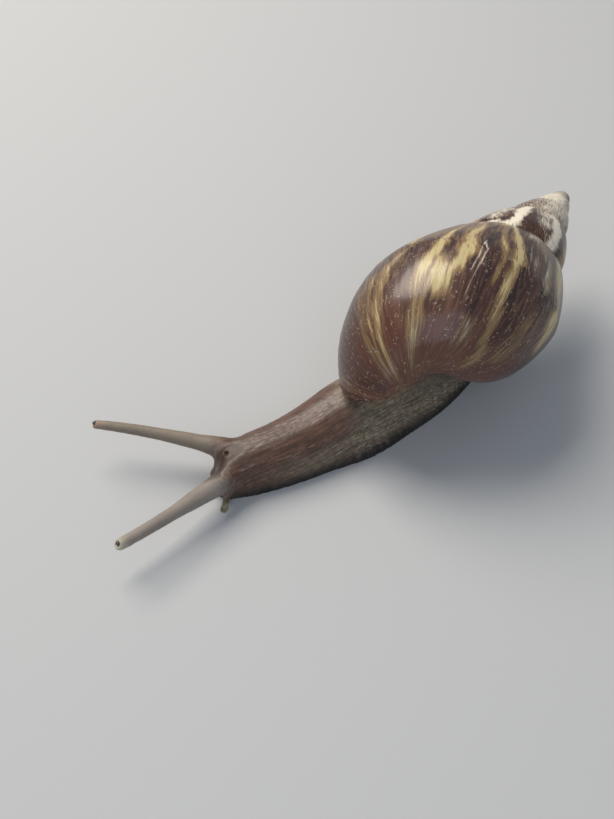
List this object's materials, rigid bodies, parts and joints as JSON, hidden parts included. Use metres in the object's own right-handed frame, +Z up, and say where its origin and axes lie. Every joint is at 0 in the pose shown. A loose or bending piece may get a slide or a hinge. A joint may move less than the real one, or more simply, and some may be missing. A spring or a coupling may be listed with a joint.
{
  "type": "giant african land snail",
  "caption": "Large land snail crawling with its long upper feelers out, carrying a tall, pointed, spirally wound shell tilted over its back; a still, life-size model.",
  "frame": {"origin": "middle of the sole, on the ground", "axes": "+Z up from the sole; +Y towards the tail, so the snail heads towards -Y; +X towards its left side"},
  "size_m": [0.0371, 0.1122, 0.0367],
  "materials": {
    "shell": "glossy periostracum over shell, brown with paler flames",
    "flesh": "moist, finely wrinkled skin",
    "collar": "smooth moist mantle",
    "eye": "shiny black"
  },
  "bodies": {
    "root": {"shell": "shell", "mantle_collar": "collar", "head": "flesh", "neck": "flesh", "foot_middle": "flesh", "tail": "flesh", "upper_tentacle_left": "flesh", "upper_tentacle_right": "flesh", "lower_tentacle_left": "flesh", "lower_tentacle_right": "flesh", "mouth": "flesh", "eye_left": "eye", "eye_right": "eye"}
  },
  "joints": []
}
